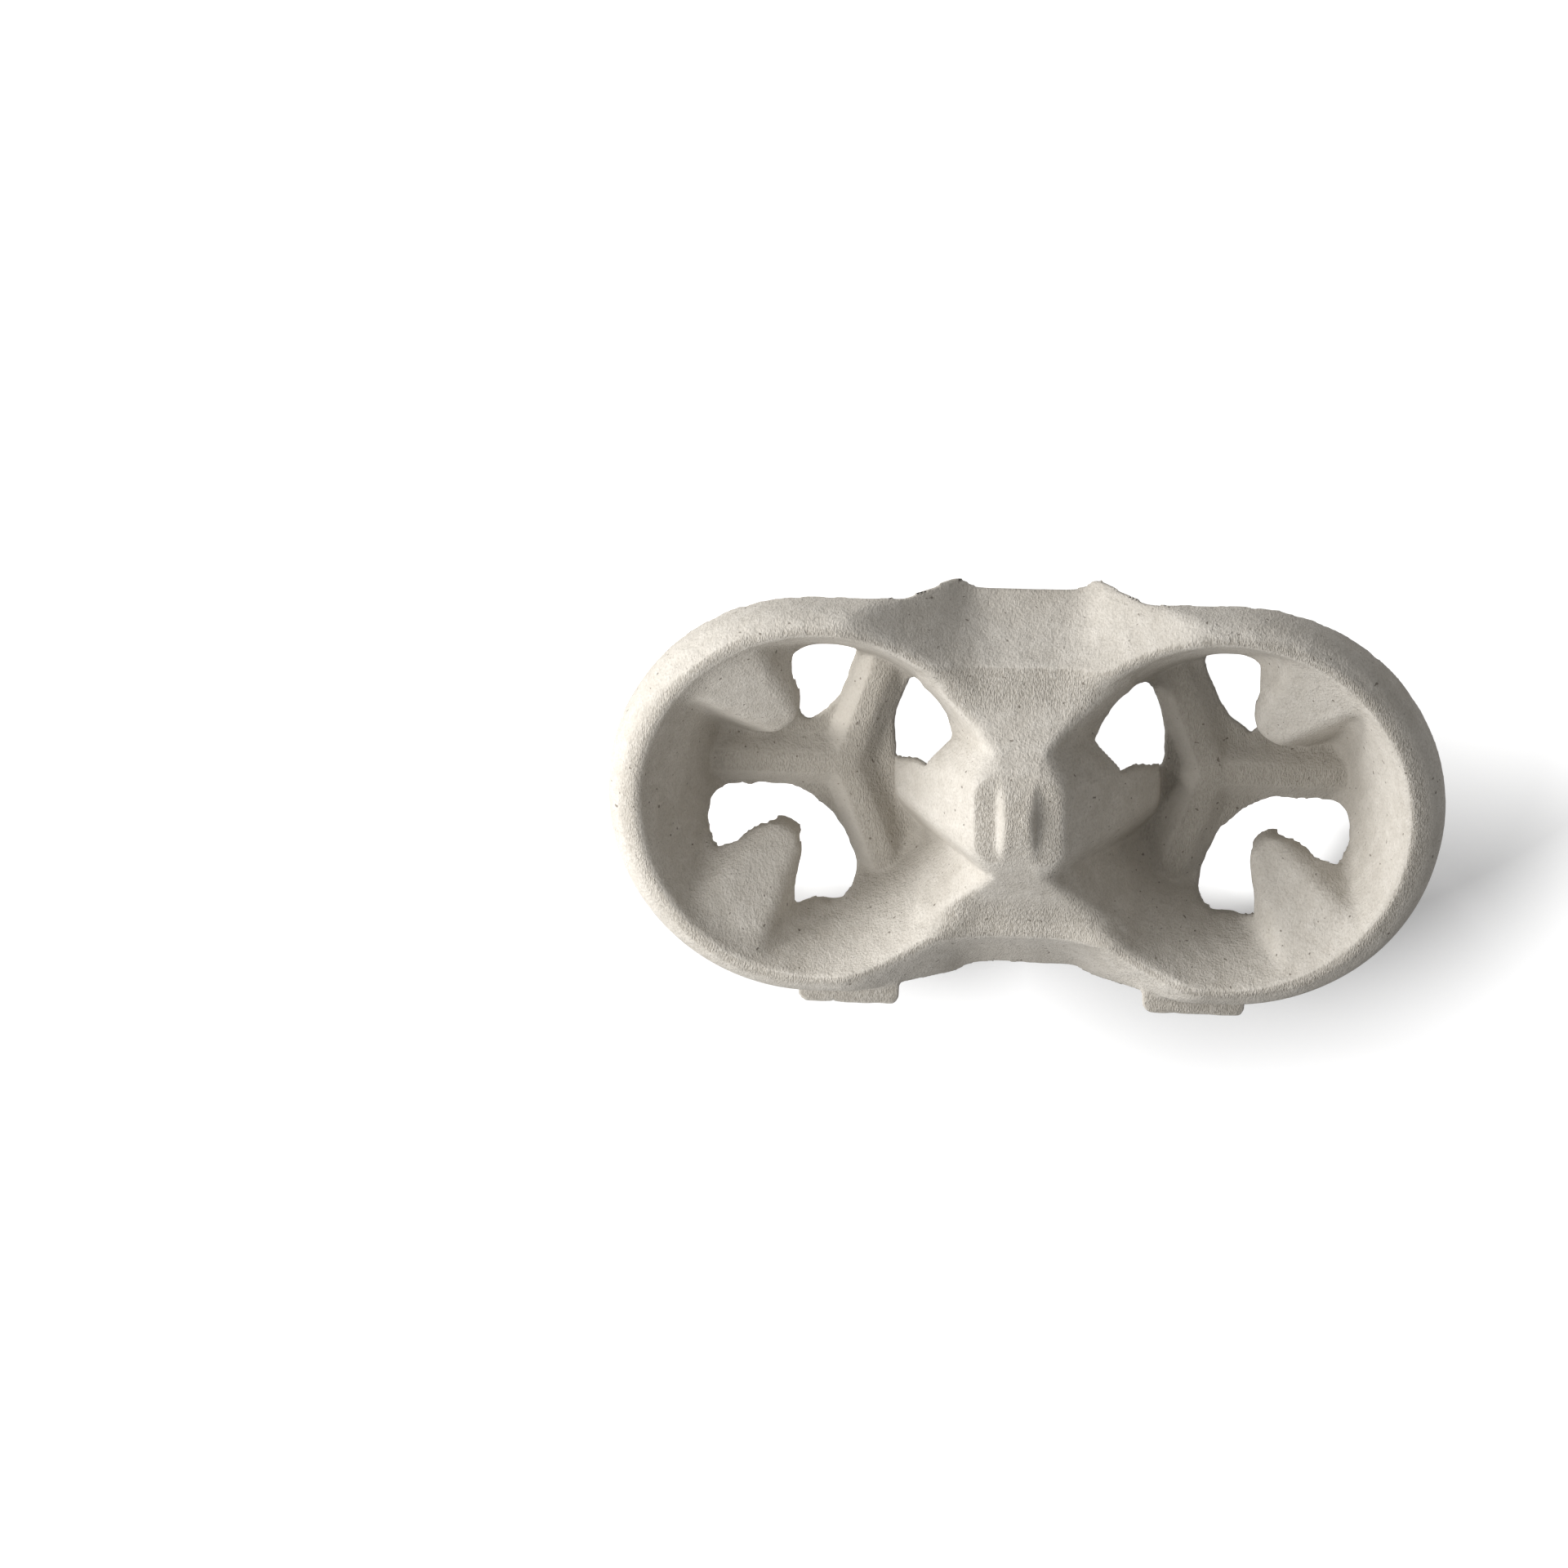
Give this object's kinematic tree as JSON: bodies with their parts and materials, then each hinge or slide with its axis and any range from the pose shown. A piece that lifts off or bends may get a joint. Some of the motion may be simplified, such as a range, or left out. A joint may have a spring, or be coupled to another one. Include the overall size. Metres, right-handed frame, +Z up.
{
  "type": "moulded pulp cup carrier",
  "caption": "Moulded pulp carrier with round tapered cup wells side by side, ribbed open floors, gripping claws, a raised divider and a rolled rim.",
  "frame": {"origin": "on the table under the middle of the outline", "axes": "+X along the length from one cup well to the other, +Y across the width away from the flat lips, +Z up out of the wells"},
  "size_m": [0.21, 0.1124, 0.051],
  "materials": {
    "pulp": "rough matt moulded fibre, uncoated"
  },
  "bodies": {
    "root": {"carrier": "pulp"}
  },
  "joints": []
}
